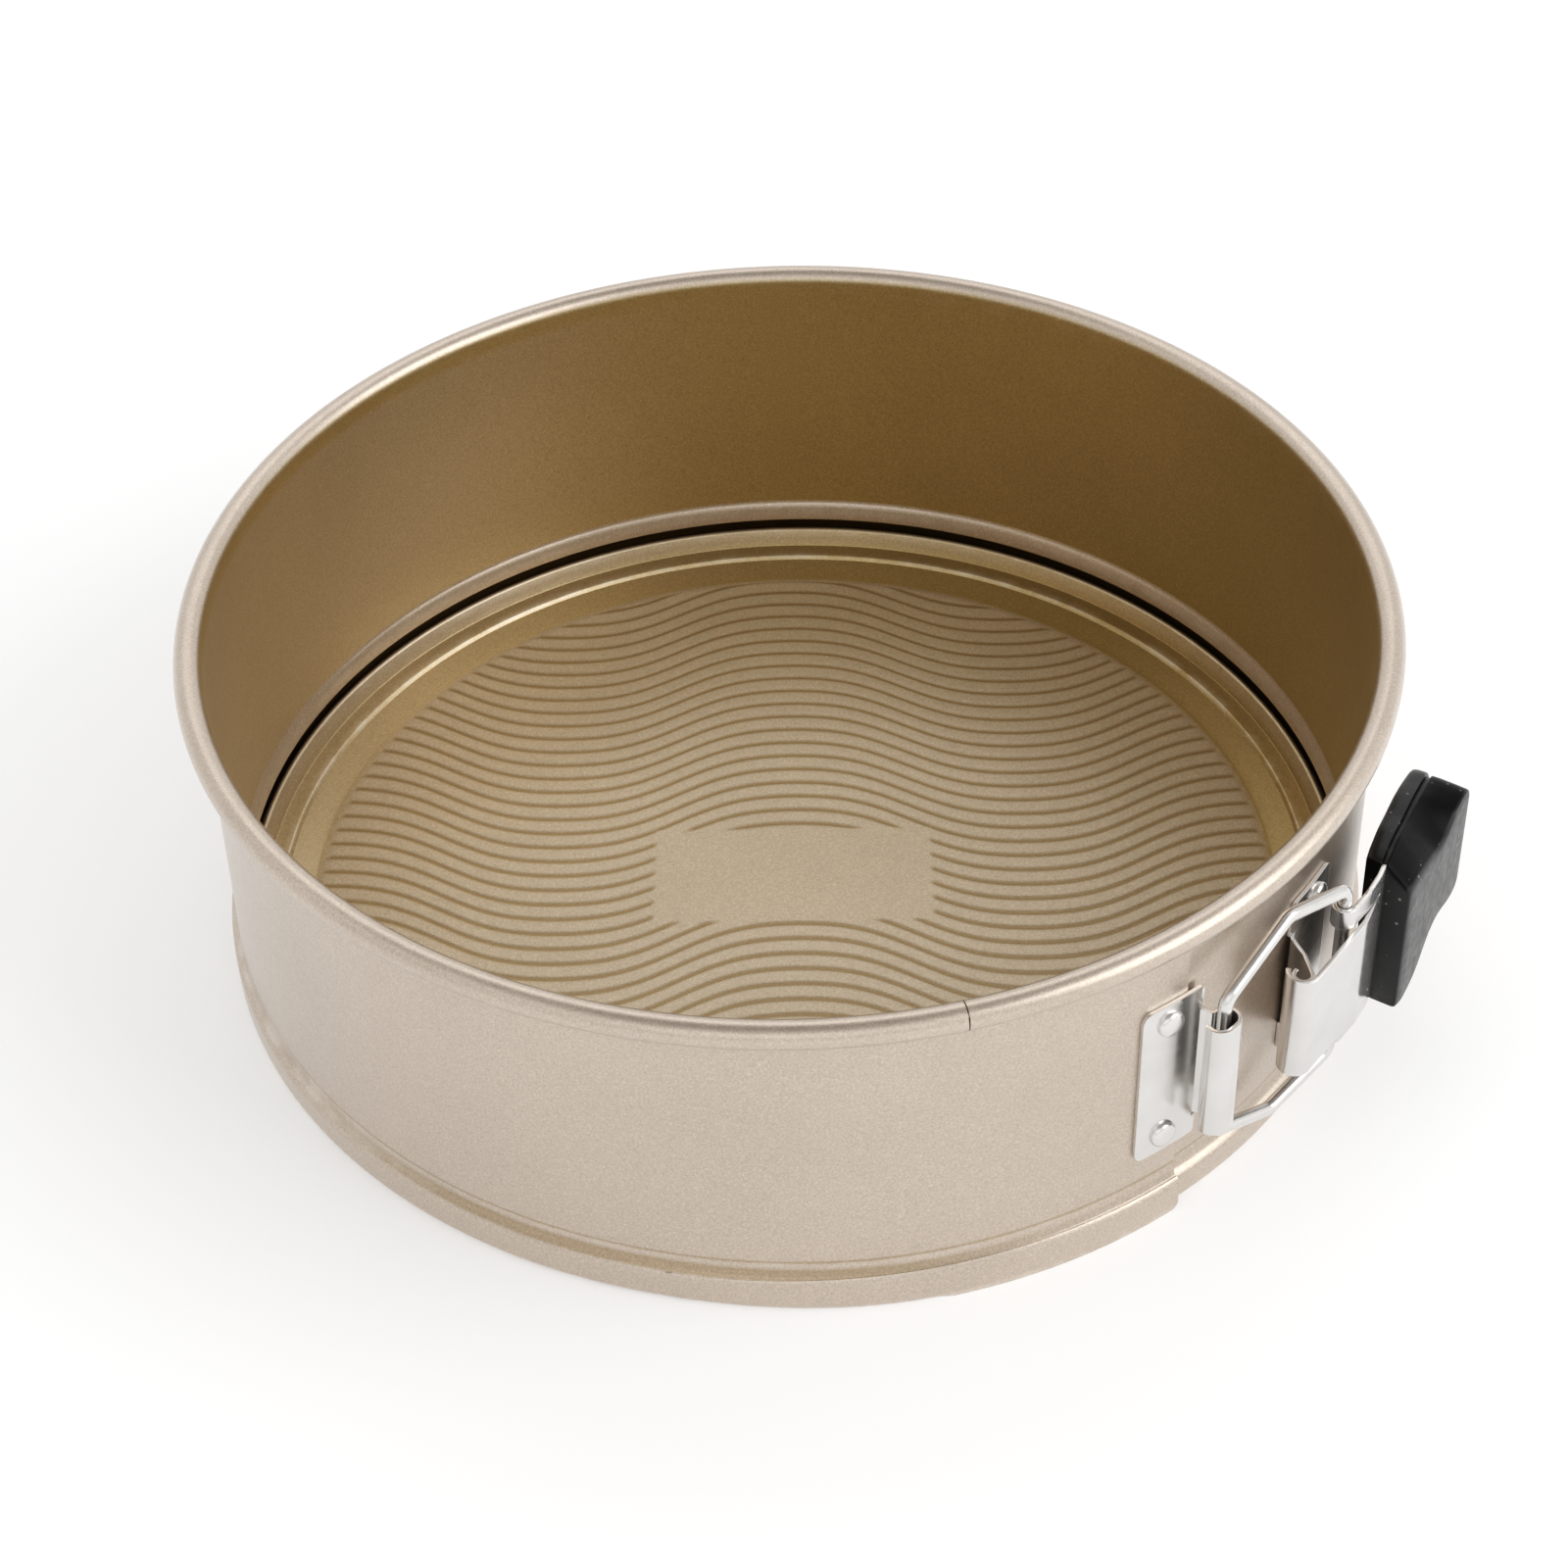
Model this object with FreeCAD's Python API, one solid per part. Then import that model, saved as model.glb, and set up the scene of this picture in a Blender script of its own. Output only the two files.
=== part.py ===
import FreeCAD, Part
import math
import os

# Round pan: a side band in two halves on a loose base plate, closed by a lever latch.
# The pan's axis is z and it stands on z = 0. Azimuths are in degrees from +x, counterclockwise
# from above. Lengths are in mm.
# Latch frame: (along, out) = along the wall counterclockwise, and outward at azimuth AZ_LATCH.
# Lever frame: (along, out) from the lever's pivot, turned by LEVER_DIR in the latch frame.

os.makedirs("parts", exist_ok=True)
V = FreeCAD.Vector
ORIGIN = V(0, 0, 0)
X_AXIS = V(1, 0, 0)
Z_AXIS = V(0, 0, 1)

# ---------------------------------------------------------------- side band dimensions
SHEET = 0.8                 # sheet of the band, brackets and base plate
HALF = SHEET / 2
H_TOTAL = 75.0
R_BAND = 115.0              # middle of the sheet
R_RIM_OUT = 120.0           # outside of the rolled rim
RIM_R = 2.7                 # outside radius of the rim's round section
R_RIM_MID = R_RIM_OUT - RIM_R
Z_RIM_MID = H_TOTAL - RIM_R
RIM_STOPS = (180, 100, 20, -50, -120)   # ends of the arcs round the rim section, degrees
R_GROOVE = 114.2            # middle of the sheet at the groove above the skirt
Z_GROOVE = 10.5
R_SKIRT = 116.5             # middle of the sheet at the skirt
R_LIP_IN = 112.0            # inner edge of the lip under the base plate

LAP = 0.05                  # gap between the two layers where the band ends overlap
TONGUE_IN_OFFSET = HALF + LAP
TONGUE_OUT_OFFSET = TONGUE_IN_OFFSET + SHEET
R_WALL_OUT = R_BAND + HALF
R_TONGUE_OUT = R_BAND + TONGUE_OUT_OFFSET
Z_TONGUE_TOP = 66.4
Z_TONGUE_LOW = 0.3
Z_TOP_STRIP = 66.8          # lower edge of the rim strip above the joggle

AZ_TONGUE_END = -53.2       # end of the outer layer
AZ_SLIT = AZ_TONGUE_END + 180
HALF_SLIT = 0.15            # degrees
AZ_RIM_SEAM = -76.0         # where the two ends of the rolled rim meet
RIM_SEAM_GAP = 0.12         # degrees
AZ_JOGGLE_START = -80.0
AZ_JOGGLE_END = -76.6

# middle of the sheet, (radius, z), downward
GROOVE = [
    (R_BAND, 12.9), (114.75, 12.25), (114.36, 11.4), (R_GROOVE, Z_GROOVE), (114.36, 9.7),
    (114.95, 8.75), (115.65, 7.85), (116.25, 7.05), (R_SKIRT, 6.2),
]
LIP = [(R_SKIRT, 1.5), (116.2, 0.72), (115.5, HALF), (R_LIP_IN, HALF)]

# ---------------------------------------------------------------- base plate dimensions
R_BASE = 113.6              # outside of the folded rim
R_FLOOR = 100.4
Z_RING = 2.6                # middle of the sheet on the raised ring
FOLD_R = 0.75               # middle of the sheet in the fold
Z_FOLD = 4.9
Z_FOLD_END = 0.9

# ---------------------------------------------------------------- latch dimensions
AZ_LATCH = -45.0
Z_LATCH = 37.0              # middle height of the whole latch
LEVER_PIVOT = (7.6, 123.2)  # latch frame
BAIL_PIVOT = (22.5, 120.8)  # bail on the lever, latch frame
BAIL_IN_EYE = (-12.2, 120.4)    # bail leg in the bail bracket, latch frame
BAIL_BEND = (5.6, 119.9)    # bail's bend between its two ends, latch frame
LEVER_DIR = -8.0            # degrees

BRACKET_H = 38.0
BRACKET_CORNER = 2.2
AZ_BAIL_PLATE, BAIL_PLATE_W = -54.85, 14.6
AZ_LEVER_PLATE, LEVER_PLATE_W = -34.4, 15.4
EYE_H = 26.8
EYE_R = 2.5                 # middle of the sheet in the bail bracket's eye
EYE_OUT = 121.0             # centre of the eye's arcs, latch frame
HOOK_H = 24.0
HOOK_R = 1.75               # middle of the sheet round the lever's pivot

RIVET_SPACING = 14.4        # rivets above and below the latch's middle
AZ_BAIL_RIVET, AZ_LEVER_RIVET = -55.4, -33.4
RIVET_R = 1.5
RIVET_HEAD_R = 2.7
RIVET_HEAD_H = 1.3
RIVET_HEAD_EDGE = 0.25      # straight edge under the dome
BAIL_RIVET_END = R_TONGUE_OUT - SHEET + 0.04
LEVER_RIVET_END = 114.57
# low tail inside the wall, (radius from the pan's axis, radius from the rivet's axis)
LEVER_RIVET_TAIL = [(LEVER_RIVET_END, 2.2), (LEVER_RIVET_END - 0.2, 2.2), (114.05, 1.7)]

LEVER_T = 1.0
LEVER_H = 24.5
PIVOT_CURL_R = 2.35 + LEVER_T / 2   # middle of the sheet
EAR_CURL_R = 1.47 + LEVER_T / 2
EAR_LOW, EAR_HIGH = 12.7, 17.2      # heights from the latch's middle
LEVER_BEND = (18.0, PIVOT_CURL_R)   # lever frame
LEVER_BEND_DIR = -12.5              # degrees
WIDE_START, WIDE_END = 7.6, 10.45   # distances past the bend

WIRE_R = 1.25
WIRE_BEND_R = 3.0

# ---------------------------------------------------------------- grip tables
GRIP_START = (27.9, 2.25)   # lever frame
GRIP_DIR = -8.6             # degrees
NEAR_END_SLOPE = 0.151      # squares the near end to the lever's first part
FACE_INSET = 0.8            # bevel along the outer face's lower edge
BACK_INSET = (0.7, 0.9)     # bevel along the inner face's edges, (out, up)
SIDE_DRAFT = 0.25           # narrowing from the inner side to the middle

# Each row is (distance along the grip, value there), linear between rows.
# half height of the inner half
BODY = [
    (0, 17.7), (4, 18.2), (8, 18.2), (12, 17.6), (15, 17.0), (21, 16.3), (25, 15.6),
    (28, 14.9), (31, 14.3), (34, 13.6), (35.4, 12.7), (36.6, 10.9), (37.5, 7.6),
]
# outer face's upper edge above the middle
FACE_TOP = [
    (0, 13.7), (3, 13.3), (6, 12.8), (12, 11.5), (17, 10.3), (20, 10.6), (23, 12.0),
    (26, 13.2), (30, 13.3), (34, 12.9), (35.4, 11.9), (36.6, 9.9), (37.5, 6.6),
]
# outer face's lower edge below the middle
FACE_LOW = [
    (0, 17.2), (4, 17.9), (8, 17.5), (11.5, 16.0), (14.5, 13.6), (17.5, 11.7), (20.5, 11.2),
    (23.5, 11.6), (27, 12.6), (30.5, 13.2), (34, 12.3), (35.4, 11.2), (36.6, 9.4), (37.5, 6.6),
]
# how far out the outer and inner faces lie
FACE_OUT = [(0, 4.2), (3, 4.6), (33, 4.6), (35.4, 4.1), (36.6, 3.2), (37.5, 1.6)]
BACK_OUT = [(0, -5.2), (2, -5.5), (33, -7.6), (35.4, -7.3), (36.6, -6.6), (37.5, -5.4)]
# distances along the grip of the lofted sections
GRIP_STATIONS = [
    0.4, 4.0, 8.0, 11.5, 14.5, 17.0, 20.3, 23.2, 26.3, 30.3, 34.0, 35.4, 36.6, 37.5,
]


# ---------------------------------------------------------------- frames
def latch_point(along, out, height):
    """Point of the latch frame in space, height from the latch's middle."""
    angle = math.radians(AZ_LATCH)
    radial_x, radial_y = math.cos(angle), math.sin(angle)
    return V(out * radial_x - along * radial_y, out * radial_y + along * radial_x,
             Z_LATCH + height)


def from_frame(origin, direction, along, out):
    """Point of a frame turned by direction, in the frame that holds it."""
    angle = math.radians(direction)
    return (origin[0] + along * math.cos(angle) - out * math.sin(angle),
            origin[1] + along * math.sin(angle) + out * math.cos(angle))


def lever_to_latch(point):
    return from_frame(LEVER_PIVOT, LEVER_DIR, *point)


def past_bend(distance):
    """Middle of the lever's sheet past its bend, in the lever frame."""
    return from_frame(LEVER_BEND, LEVER_BEND_DIR, distance, 0)


def wall_point(radius, azimuth):
    """Point on a circle round the pan's axis, in the latch frame."""
    angle = math.radians(azimuth - AZ_LATCH)
    return (radius * math.sin(angle), radius * math.cos(angle))


# ---------------------------------------------------------------- shape helpers
def offset(path, distance):
    """Open polyline moved to the left of its direction, with mitred corners."""
    normals = []
    for (x0, y0), (x1, y1) in zip(path, path[1:]):
        length = math.hypot(x1 - x0, y1 - y0)
        normals.append(((y0 - y1) / length, (x1 - x0) / length))
    moved = []
    for (x, y), before, after in zip(path, normals[:1] + normals, normals + normals[-1:]):
        scale = distance / (1 + before[0] * after[0] + before[1] * after[1])
        moved.append((x + (before[0] + after[0]) * scale, y + (before[1] + after[1]) * scale))
    return moved


def sheet_loop(path, right=-HALF, left=HALF):
    """Outline of a bent sheet between two offsets of a path."""
    return offset(path, left) + offset(path, right)[::-1]


def arc(x, y, radius, start, end, step=15.0):
    """Points on an arc, about one per step of degrees."""
    count = max(2, int(round(abs(end - start) / step)) + 1)
    angles = [math.radians(start + (end - start) * i / (count - 1)) for i in range(count)]
    return [(x + radius * math.cos(a), y + radius * math.sin(a)) for a in angles]


def closed_wire(points):
    return Part.Wire(Part.makePolygon(points + [points[0]]).Edges)


def section_wire(points):
    """Closed wire in the xz plane from (radius, z) points."""
    return closed_wire([V(r, 0, z) for r, z in points])


def lines(points):
    return [Part.makeLine(a, b) for a, b in zip(points, points[1:])]


def placed(shape, azimuth, z=0):
    """Copy turned about the pan's axis and raised."""
    copy = shape.copy()
    copy.rotate(ORIGIN, Z_AXIS, azimuth)
    copy.translate(V(0, 0, z))
    return copy


def sector(face, start, end):
    return placed(face, start).revolve(ORIGIN, Z_AXIS, end - start)


def strip(path, thickness, low, high):
    """Bent sheet on a latch frame path, between two heights from the latch's middle."""
    loop = sheet_loop(path, -thickness / 2, thickness / 2)
    face = Part.Face(closed_wire([latch_point(*point, low) for point in loop]))
    return face.extrude(V(0, 0, high - low))


def rounded_prism(azimuth, width, height):
    """Radial bar through the wall at the latch's height, with rounded corners."""
    y = width / 2 - BRACKET_CORNER
    z = height / 2 - BRACKET_CORNER
    section = []
    for corner_y, corner_z, start in ((y, z, 0), (-y, z, 90), (-y, -z, 180), (y, -z, 270)):
        section += arc(corner_y, corner_z, BRACKET_CORNER, start, start + 90, 30)
    wire = closed_wire([V(100, y, Z_LATCH + z) for y, z in section])
    return placed(Part.Face(wire).extrude(V(30, 0, 0)), azimuth)


def fuse(shapes):
    result = shapes[0]
    for shape in shapes[1:]:
        result = result.fuse(shape)
    return result.removeSplitter()


# ---------------------------------------------------------------- rivets
def rivet_pair(shape, azimuth):
    """Copies above and below the latch's middle."""
    return [placed(shape, azimuth, Z_LATCH + side * RIVET_SPACING) for side in (1, -1)]


def drill(shape, azimuth):
    """Cut the two rivet holes."""
    for hole in rivet_pair(Part.makeCylinder(RIVET_R, 30, V(105, 0, 0), X_AXIS), azimuth):
        shape = shape.cut(hole)
    return shape


def make_rivets(seat, end, azimuth, tail=()):
    """Domed heads on radius seat, shanks inward to radius end, then an optional tail."""
    top = V(seat + RIVET_HEAD_H, 0, 0)
    dome = V(seat + RIVET_HEAD_EDGE + (RIVET_HEAD_H - RIVET_HEAD_EDGE) * 0.72, 0,
             RIVET_HEAD_R * 0.68)
    rim = V(seat + RIVET_HEAD_EDGE, 0, RIVET_HEAD_R)
    outline = [(seat, RIVET_HEAD_R), (seat, RIVET_R), (end, RIVET_R)] + list(tail)
    inner_end = (outline[-1][0], 0)
    points = [rim] + [V(x, 0, z) for x, z in outline + [inner_end]]
    edges = [Part.makeLine(points[-1], top), Part.Arc(top, dome, rim).toShape()]
    rivet = Part.Face(Part.Wire(edges + lines(points))).revolve(ORIGIN, X_AXIS, 360)
    return Part.makeCompound(rivet_pair(rivet, azimuth))


# ---------------------------------------------------------------- side band
def rim_point(radius, angle):
    angle = math.radians(angle)
    return V(R_RIM_MID + radius * math.cos(angle), 0, Z_RIM_MID + radius * math.sin(angle))


def rim_arcs(radius, stops):
    return [Part.Arc(rim_point(radius, a), rim_point(radius, (a + b) / 2),
                     rim_point(radius, b)).toShape() for a, b in zip(stops, stops[1:])]


def band_face(below_rim):
    """Section of the band: the rolled rim and the wall down through the given points."""
    middle = [(R_BAND, Z_RIM_MID)] + below_rim
    inside = [V(r, 0, z) for r, z in offset(middle, -HALF)[::-1]]
    outside = [V(r, 0, z) for r, z in offset(middle, HALF)]
    rim_in = RIM_R - SHEET
    edges = lines(inside) + rim_arcs(RIM_R, RIM_STOPS)
    edges.append(Part.makeLine(rim_point(RIM_R, RIM_STOPS[-1]),
                               rim_point(rim_in, RIM_STOPS[-1])))
    edges += rim_arcs(rim_in, RIM_STOPS[::-1]) + lines(outside)
    edges.append(Part.makeLine(outside[-1], inside[0]))
    return Part.Face(Part.Wire(edges))


def make_band_right():
    """Half that ends under the outer layer."""
    half = sector(band_face(GROOVE + LIP), AZ_RIM_SEAM, AZ_SLIT - HALF_SLIT)
    return drill(half, AZ_LEVER_RIVET)


def make_band_left():
    """Half whose wall steps out over the other one; its rim stops at the seam."""
    main = sector(band_face(GROOVE + LIP), AZ_SLIT + HALF_SLIT, 360 + AZ_JOGGLE_START)
    top = sector(band_face([(R_BAND, Z_TOP_STRIP)]), AZ_JOGGLE_START,
                 AZ_RIM_SEAM - RIM_SEAM_GAP)
    wall = [(R_BAND, Z_TONGUE_TOP)] + GROOVE + [(R_SKIRT, Z_TONGUE_LOW)]
    inner_wire = section_wire(sheet_loop(wall))
    outer_wire = section_wire(sheet_loop(wall, TONGUE_IN_OFFSET, TONGUE_OUT_OFFSET))
    joggle = Part.makeLoft([placed(inner_wire, AZ_JOGGLE_START),
                            placed(outer_wire, AZ_JOGGLE_END)], True, True)
    tongue = sector(Part.Face(outer_wire), AZ_JOGGLE_END, AZ_TONGUE_END)
    return drill(fuse([main, top, joggle, tongue]), AZ_BAIL_RIVET)


# ---------------------------------------------------------------- brackets
def make_bracket(seat, plate_azimuth, plate_width, curl_path, curl_height, rivet_azimuth):
    """Riveted plate on radius seat with a curled strip standing off it."""
    z_low = Z_LATCH - 25
    outer = Part.makeCylinder(seat + SHEET, 50, V(0, 0, z_low))
    ring = outer.cut(Part.makeCylinder(seat, 50, V(0, 0, z_low)))
    plate = ring.common(rounded_prism(plate_azimuth, plate_width, BRACKET_H))
    curl = strip(curl_path, SHEET, -curl_height / 2, curl_height / 2)
    # the strip's start follows the plate only roughly, so trim it to the seat
    bracket = fuse([plate, curl]).cut(Part.makeCylinder(seat, 80))
    return drill(bracket, rivet_azimuth)


def make_bail_bracket():
    """Bracket on the outer layer, with an eye for the bail."""
    middle = R_TONGUE_OUT + HALF
    path = [wall_point(middle, azimuth) for azimuth in (-54.5, -53.6, -52.8)]
    path += [(-15.0, 116.3), (-14.35, 117.3), (-13.75, 118.15), (-12.95, EYE_OUT - EYE_R)]
    path += arc(-11.25, EYE_OUT, EYE_R, -90, 90) + arc(-13.0, EYE_OUT, EYE_R, 90, 205)
    return make_bracket(R_TONGUE_OUT, AZ_BAIL_PLATE, BAIL_PLATE_W, path, EYE_H, AZ_BAIL_RIVET)


def make_lever_bracket():
    """Bracket on the inner layer, with a hook round the lever's pivot."""
    middle = R_WALL_OUT + HALF
    path = [wall_point(middle, azimuth) for azimuth in (-36.2, -37.2)]
    path += [(14.35, 115.25), (13.55, 116.2), (13.0, 117.6), (12.25, 119.5), (11.2, 121.35)]
    path += arc(*LEVER_PIVOT, HOOK_R, 38, 285)
    return make_bracket(R_WALL_OUT, AZ_LEVER_PLATE, LEVER_PLATE_W, path, HOOK_H,
                        AZ_LEVER_RIVET)


# ---------------------------------------------------------------- lever plate
def make_lever():
    """One sheet with a curl at its pivot and two ears curled round the bail."""
    def lever_strip(path, low, high):
        return strip([lever_to_latch(point) for point in path], LEVER_T, low, high)

    main_path = arc(0, 0, PIVOT_CURL_R, 250, 90)
    main_path += [(12.0, PIVOT_CURL_R), LEVER_BEND, past_bend(9), past_bend(WIDE_END)]
    main = lever_strip(main_path, -LEVER_H / 2, LEVER_H / 2)
    wide = lever_strip([past_bend(WIDE_START), past_bend(WIDE_END)], -EAR_HIGH, EAR_HIGH)
    # the part inside the grip
    root = lever_strip([past_bend(9.0), past_bend(20.0)], -15.5, 15.5)
    root_end = lever_strip([past_bend(19.0), past_bend(37.0)], -8.0, 8.0)

    ear_x, ear_y = from_frame((0, 0), -LEVER_DIR, BAIL_PIVOT[0] - LEVER_PIVOT[0],
                              BAIL_PIVOT[1] - LEVER_PIVOT[1])
    ear_path = arc(ear_x, ear_y, EAR_CURL_R, 320, 90)
    ear_path += [(20.6, ear_y + EAR_CURL_R), past_bend(WIDE_START), past_bend(8.8)]
    ears = [lever_strip(ear_path, EAR_LOW, EAR_HIGH), lever_strip(ear_path, -EAR_HIGH, -EAR_LOW)]
    return fuse([main, wide, root, root_end] + ears)


# ---------------------------------------------------------------- grip
def interpolate(rows, distance):
    for (x0, y0), (x1, y1) in zip(rows, rows[1:]):
        if distance <= x1:
            return y0 + (y1 - y0) * (distance - x0) / (x1 - x0)


def grip_section(distance):
    body, top, low, face, back = (interpolate(rows, distance) for rows in
                                  (BODY, FACE_TOP, FACE_LOW, FACE_OUT, BACK_OUT))
    side = -1.1 - 0.07 * distance       # where the inner half meets the outer
    back_edge = back + BACK_INSET[0]
    back_height = body - BACK_INSET[1]
    ring = [                            # (out, height)
        (face, FACE_INSET - low), (face, top),
        (side, body - SIDE_DRAFT), (back_edge, body),
        (back, back_height), (back, -back_height),
        (back_edge, -body), (side, -max(body - SIDE_DRAFT, low)),
        (face - FACE_INSET, -low),
    ]
    slope = NEAR_END_SLOPE if distance == GRIP_STATIONS[0] else 0
    points = []
    for out, height in ring:
        in_lever = from_frame(GRIP_START, GRIP_DIR, distance - slope * out, out)
        points.append(latch_point(*lever_to_latch(in_lever), height))
    return closed_wire(points)


def make_grip(lever):
    """Grip over the lever's end, hollowed by the lever itself."""
    return Part.makeLoft([grip_section(s) for s in GRIP_STATIONS], True, True).cut(lever)


# ---------------------------------------------------------------- wire bail
def make_bail():
    """Closed six-sided wire loop with rounded corners."""
    upper = [(BAIL_IN_EYE, 17.0), (BAIL_BEND, 25.3), (BAIL_PIVOT, 20.9)]
    corners = [latch_point(*point, height) for point, height in upper]
    corners += [latch_point(*point, -height) for point, height in upper[::-1]]
    bends = []                          # (start, middle, end) of each corner's arc
    for i, corner in enumerate(corners):
        to_last = (corners[i - 1] - corner).normalize()
        to_next = (corners[(i + 1) % len(corners)] - corner).normalize()
        half_angle = to_last.getAngle(to_next) / 2
        setback = WIRE_BEND_R / math.tan(half_angle)
        bisector = (to_last + to_next).normalize()
        middle = corner + bisector * (WIRE_BEND_R / math.sin(half_angle) - WIRE_BEND_R)
        bends.append((corner + to_last * setback, middle, corner + to_next * setback))
    edges = []
    for bend, next_bend in zip(bends, bends[1:] + bends[:1]):
        edges.append(Part.Arc(*bend).toShape())
        edges.append(Part.makeLine(bend[2], next_bend[0]))
    start = bends[0][0]
    tangent = (start - bends[-1][2]).normalize()
    profile = Part.Wire([Part.makeCircle(WIRE_R, start, tangent)])
    bail = Part.Wire(edges).makePipeShell([profile], True, False, 2)
    # the sweep along a closed path may come back as a shell
    return Part.Solid(bail) if bail.ShapeType == "Shell" else bail


# ---------------------------------------------------------------- base plate
def make_base():
    """Flat floor, raised ring and a rim folded outward and down."""
    rim = R_BASE - HALF
    fold = rim - FOLD_R
    path = [
        (0.0, HALF), (R_FLOOR, HALF), (101.3, 0.58), (106.2, 2.42), (107.0, Z_RING),
        (110.7, Z_RING), (111.35, 2.78), (fold - FOLD_R, 3.4), (fold - FOLD_R, Z_FOLD),
    ]
    path += arc(fold, Z_FOLD, FOLD_R, 150, 30, 30) + [(rim, Z_FOLD), (rim, Z_FOLD_END)]
    return Part.Face(section_wire(sheet_loop(path))).revolve(ORIGIN, Z_AXIS, 360)


# ---------------------------------------------------------------- write the parts
lever_plate = make_lever()
parts = {
    "side_band_right": make_band_right(),
    "side_band_left": make_band_left(),
    "lever_bracket": make_lever_bracket(),
    "lever_bracket_rivets": make_rivets(R_WALL_OUT + SHEET, LEVER_RIVET_END, AZ_LEVER_RIVET,
                                        LEVER_RIVET_TAIL),
    "bail_bracket": make_bail_bracket(),
    "bail_bracket_rivets": make_rivets(R_TONGUE_OUT + SHEET, BAIL_RIVET_END, AZ_BAIL_RIVET),
    "wire_bail": make_bail(),
    "lever_plate": lever_plate,
    "lever_grip": make_grip(lever_plate),
    "base_plate": make_base(),
}
for name, shape in parts.items():
    # a compound that holds one solid is written as that solid
    part = shape.Solids[0] if len(shape.Solids) == 1 else shape
    part.exportStep("parts/" + name + ".step")
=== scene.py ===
"""A round springform tin with a lever latch, standing on z = 0 with its axis on z.

The latch faces azimuth -45 degrees, between +x and -y. Sizes are in mm and angles in
degrees unless said otherwise; make() turns mm into metres.
"""
import math
from contextlib import contextmanager

import bmesh
import bpy
import numpy as np
from mathutils import Matrix, Vector


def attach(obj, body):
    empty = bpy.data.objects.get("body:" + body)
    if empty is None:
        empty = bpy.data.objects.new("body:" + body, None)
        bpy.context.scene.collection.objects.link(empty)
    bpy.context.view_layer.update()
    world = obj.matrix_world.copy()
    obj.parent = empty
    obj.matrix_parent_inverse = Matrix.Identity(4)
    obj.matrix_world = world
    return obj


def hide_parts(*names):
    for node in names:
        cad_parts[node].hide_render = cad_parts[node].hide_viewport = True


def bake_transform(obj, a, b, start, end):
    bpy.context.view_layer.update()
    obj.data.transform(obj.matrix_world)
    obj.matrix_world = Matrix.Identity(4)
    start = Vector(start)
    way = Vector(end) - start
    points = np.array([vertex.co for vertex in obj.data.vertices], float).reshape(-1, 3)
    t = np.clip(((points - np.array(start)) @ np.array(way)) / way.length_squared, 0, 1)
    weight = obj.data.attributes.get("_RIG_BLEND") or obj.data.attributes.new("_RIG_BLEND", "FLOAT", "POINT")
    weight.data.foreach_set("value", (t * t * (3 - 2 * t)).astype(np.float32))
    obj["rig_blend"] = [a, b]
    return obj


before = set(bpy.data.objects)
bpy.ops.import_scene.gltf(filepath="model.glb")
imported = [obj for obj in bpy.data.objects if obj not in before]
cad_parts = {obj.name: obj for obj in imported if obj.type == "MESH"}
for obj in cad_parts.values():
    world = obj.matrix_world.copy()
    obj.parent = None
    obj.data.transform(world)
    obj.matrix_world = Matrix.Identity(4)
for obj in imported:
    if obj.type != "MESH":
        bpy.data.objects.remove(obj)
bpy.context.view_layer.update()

MM = 0.001

# ------------------------------------------------------------------ shared dimensions
SHEET = 0.8
HALF = SHEET / 2
BAND_R = 115.0                  # middle of the wall's sheet
WALL_OUT = BAND_R + HALF
TONGUE_STEP = 0.85              # how far the band's outer end stands off
TONGUE_OUT = WALL_OUT + TONGUE_STEP
LATCH_Z = 37.0
# points of the latch, as (along the wall, outward)
PIVOT = (7.6, 123.2)            # lever on its bracket
WIRE_END = (22.5, 120.8)        # wire in the lever's ears
WIRE_EYE = (-12.2, 120.4)       # wire in the bail bracket
WIRE_R = 1.36
RIVET_RISE = 14.4               # rivets above and below the latch's middle
CURL_R = 2.85                   # lever sheet round its pivot
LEVER_TILT = math.radians(-8.0)
BEND = math.radians(-12.5)      # lever sheet past its bend, against the lever
GRIP_TILT = math.radians(-8.6)  # grip, against the lever


# ------------------------------------------------------------------ curves
def smooth(start, end, x):
    """eased step from 0 at start to 1 at end"""
    t = np.clip((np.asarray(x, float) - start) / (end - start), 0, 1)
    return t * t * (3 - 2 * t)


def window(x, rise, fall):
    """eased step up over rise and down again over fall"""
    return float(smooth(*rise, x) * (1 - smooth(*fall, x)))


def fillet(points, radii, step):
    """polyline with its inner corners turned into arcs of about step degrees a piece"""
    points = [np.array(p, float) for p in points]
    out = [points[0]]
    for before, corner, after, radius in zip(points, points[1:], points[2:], radii[1:]):
        back, ahead = before - corner, after - corner
        back_len, ahead_len = np.linalg.norm(back), np.linalg.norm(ahead)
        back, ahead = back / back_len, ahead / ahead_len
        angle = math.acos(max(-1.0, min(1.0, float(back @ ahead))))
        turn = math.pi - angle
        if radius <= 0 or turn < 1e-3:
            out.append(corner)
            continue
        cut = min(radius / math.tan(angle / 2), 0.49 * back_len, 0.49 * ahead_len)
        radius = cut * math.tan(angle / 2)
        bisector = (back + ahead) / np.linalg.norm(back + ahead)
        centre = corner + bisector * (radius / math.sin(angle / 2))
        first = corner + back * cut - centre
        last = corner + ahead * cut - centre
        count = max(2, int(math.ceil(math.degrees(turn) / step)) + 1)
        for k in range(count):
            f = k / (count - 1)
            swing = math.sin((1 - f) * turn) * first + math.sin(f * turn) * last
            out.append(centre + swing / math.sin(turn))
    out.append(points[-1])
    return out


def arc(centre_x, centre_y, radius, start, end, step):
    count = max(2, int(round(abs(end - start) / step)) + 1)
    angles = [math.radians(start + (end - start) * i / (count - 1)) for i in range(count)]
    return [(centre_x + radius * math.cos(a), centre_y + radius * math.sin(a)) for a in angles]


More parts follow.
